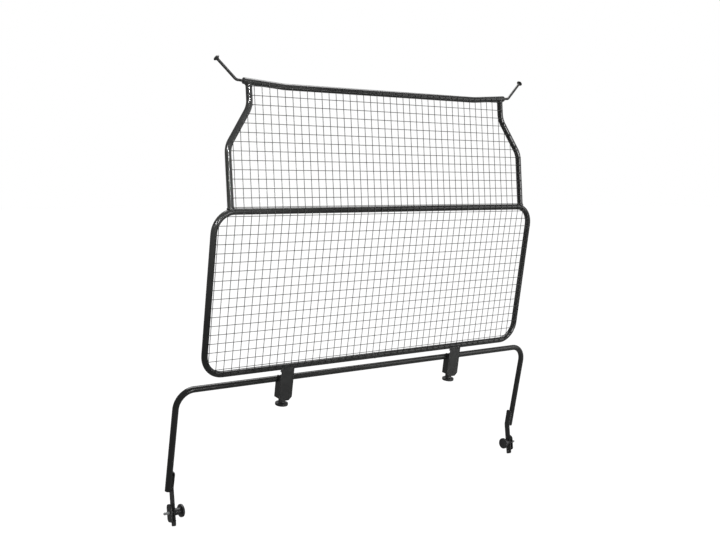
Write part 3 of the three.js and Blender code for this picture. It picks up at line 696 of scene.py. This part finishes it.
def hook_spring(side, word):
    """Compression spring: a round wire on a helix, whose end turns lie closer."""
    origin, along, over = hook_frame(side)
    turns, start, length, wire, coil = 8, 0.0177, 0.0285, 0.0007, 0.0056
    share = np.linspace(0, 1, turns * 28)
    angle = share * turns * 2 * math.pi
    depth = start + length * (share - 0.05 * np.sin(2 * math.pi * share))
    back = np.cross(along, over)
    out = np.cos(angle)[:, None] * over + np.sin(angle)[:, None] * back
    path = origin - depth[:, None] * along + coil * out
    grid = bead(path, out, wire, False, 0.0, 10)
    spring = piece(f"{word}_hook_coil", [(grid, False)], SPRING_STEEL, "guard", f"{word}_hook_spring",
                   60)
    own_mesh(spring)


# ---------------------------------------------------------------- the lower bar and its feet


def on_toe(along, rear=0.0):
    """A place (y, z) on a strap's lower part: distance from its crank and towards its rear edge."""
    down = np.array([-math.sin(STRAP_TURN), -math.cos(STRAP_TURN)])
    across = np.array([-down[1], down[0]])
    return np.array([STRAP_SHIFT, -STRAP_CRANK]) + down * along + across * rear


def lower_bar():
    """The U-shaped bar with open leg ends, worn where the brackets grip it."""
    corners = [(-LEG_PLACE, -LEG_LENGTH), (-LEG_PLACE, 0), (LEG_PLACE, 0), (LEG_PLACE, -LEG_LENGTH)]
    path, turn, radii = hollow_ends(*bent_path(corners, BAR_CORNER, 18), TUBE, TUBE_BORE, 0.04)
    grid = BAR.place(tube_along(path, turn, radii, 0))
    places = [side * BRACKET_PLACE + edge for side in (-1, 1) for edge in (-BRACKET_HALF, BRACKET_HALF)]
    piece("lower_bar_tube", [(grid, False)], COAT, "lower_bar", "lower_bar", wear=grip_wear(places, 0.006))


def foot(side, word):
    """Cranked strap, loose jaw, and the hand knob with its threaded stud through both."""
    refined(f"{word}_foot_strap", "lower_bar", SHEET_COAT, 0.0006)
    refined(f"{word}_foot_jaw", f"{word}_foot_jaw", SHEET_COAT, 0.0007)
    y, z = on_toe(FOOT_SCREW)
    outwards = np.array([side, 0, 0])
    origin = BAR.place((side * KNOB_PLACE, y, z))
    hub = STRAP_INNER - 0.0003 - KNOB_PLACE
    hand_knob(f"{word}_foot_hand_knob", f"{word}_foot_knob", f"{word}_foot_knob", origin, outwards,
              hub, 0.0070, 0.0186, 0.0100, 0.0016)
    stud = BAR.place((side * STUD_PLACE, y, z))
    length = STUD_TIP - STUD_PLACE
    threaded_rod(f"{word}_foot_thread", f"{word}_foot_knob", f"{word}_foot_stud", stud, outwards, length)


def foot_welds():
    """Fillet welds that hold each strap on the inner side of its leg."""
    grids = []
    for side, _ in SIDES:
        x = side * FOOT_WELD_PLACE
        for back, top, facing in ((-0.0058, -0.246, -1), (0.0070, -0.243, 1)):
            start, end = (x, back, top), (x, back, FOOT_WELD_END)
            grids.append((straight_bead(BAR, start, end, (-side, facing, 0), 0.0021), False))
    piece("foot_weld_beads", grids, WELD_COAT, "lower_bar", sharp=60)


# ---------------------------------------------------------------- studio


def area_light(name, place, towards, size, power, spread=math.pi):
    """A rectangular soft light at a place, facing another; spread narrows its beam."""
    light = bpy.data.lights.new(name, "AREA")
    light.shape, light.size, light.size_y, light.energy = "RECTANGLE", size[0], size[1], power
    light.spread = spread
    thing = bpy.data.objects.new(name, light)
    thing.location = place
    thing.rotation_euler = (Vector(towards) - Vector(place)).to_track_quat("-Z", "Y").to_euler()
    bpy.context.scene.collection.objects.link(thing)


def studio():
    """Pale floor, soft white surroundings, large soft lights and two narrow ones for the left's gloss."""
    mesh = bpy.data.meshes.new("floor")
    corners = [(x * FLOOR_HALF, y * FLOOR_HALF, -FLOOR_GAP) for x, y in ((-1, -1), (1, -1), (1, 1), (-1, 1))]
    mesh.from_pydata(corners, [], [(0, 1, 2, 3)])
    mesh.materials.append(studio_floor())
    floor = bpy.data.objects.new("floor", mesh)
    bpy.context.scene.collection.objects.link(floor)
    floor.visible_diffuse = floor.visible_glossy = False
    world = bpy.data.worlds.new("white_studio")
    world.use_nodes = True
    nodes = world.node_tree.nodes
    nodes["Background"].inputs["Color"].default_value = (1, 1, 1, 1)
    seen = nodes.new("ShaderNodeLightPath")
    strength = nodes.new("ShaderNodeMapRange")
    strength.inputs["To Min"].default_value, strength.inputs["To Max"].default_value = ROOM_LIGHT, SURROUND
    world.node_tree.links.new(seen.outputs["Is Camera Ray"], strength.inputs["Value"])
    world.node_tree.links.new(strength.outputs["Result"], nodes["Background"].inputs["Strength"])
    bpy.context.scene.world = world
    bpy.context.scene.view_settings.view_transform = "Standard"
    area_light("overhead", (0.6, 0.8, 3.8), (0, 0, 0.7), (3.2, 2.2), 150)
    area_light("right_panel", (3.4, -2.4, 1.7), (0.3, 0, 0.6), (2.2, 2.6), 30)
    area_light("front_right", (1.4, -3.2, 0.6), (0.7, 0, 0.7), (1.8, 2.4), 13, 0.6)
    area_light("left_strip", (-1.35, -3.2, 1.85), (-0.47, -0.05, 1.15), (0.04, 0.9), 1.0, 0.16)
    area_light("corner_strip", (-2.4, -1.35, 1.9), (-0.46, -0.09, 0.86), (0.12, 0.4), 0.6, 0.25)


def camera():
    """A long lens in front of the barrier, to its left and a little above the fold."""
    data = bpy.data.cameras.new("camera")
    data.lens, data.sensor_width, data.sensor_fit = 53.81, 36, "HORIZONTAL"
    thing = bpy.data.objects.new("camera", data)
    thing.location = Vector(FOLD) + Vector((-2.0531, -2.4518, 0.0646))
    thing.rotation_euler = Vector((0.61596, 0.78318, -0.08500)).to_track_quat("-Z", "Y").to_euler()
    bpy.context.scene.collection.objects.link(thing)
    bpy.context.scene.camera = thing


camera()
studio()
frame_loop()
top_rail()
frame_welds()
wire_panel(True)
wire_panel(False)
lower_bar()
foot_welds()
for side, word in SIDES:
    side_tube(side, word)
    clamp(side, word)
    roof_hook(side, word)
    hook_parts(side, word)
    foot(side, word)
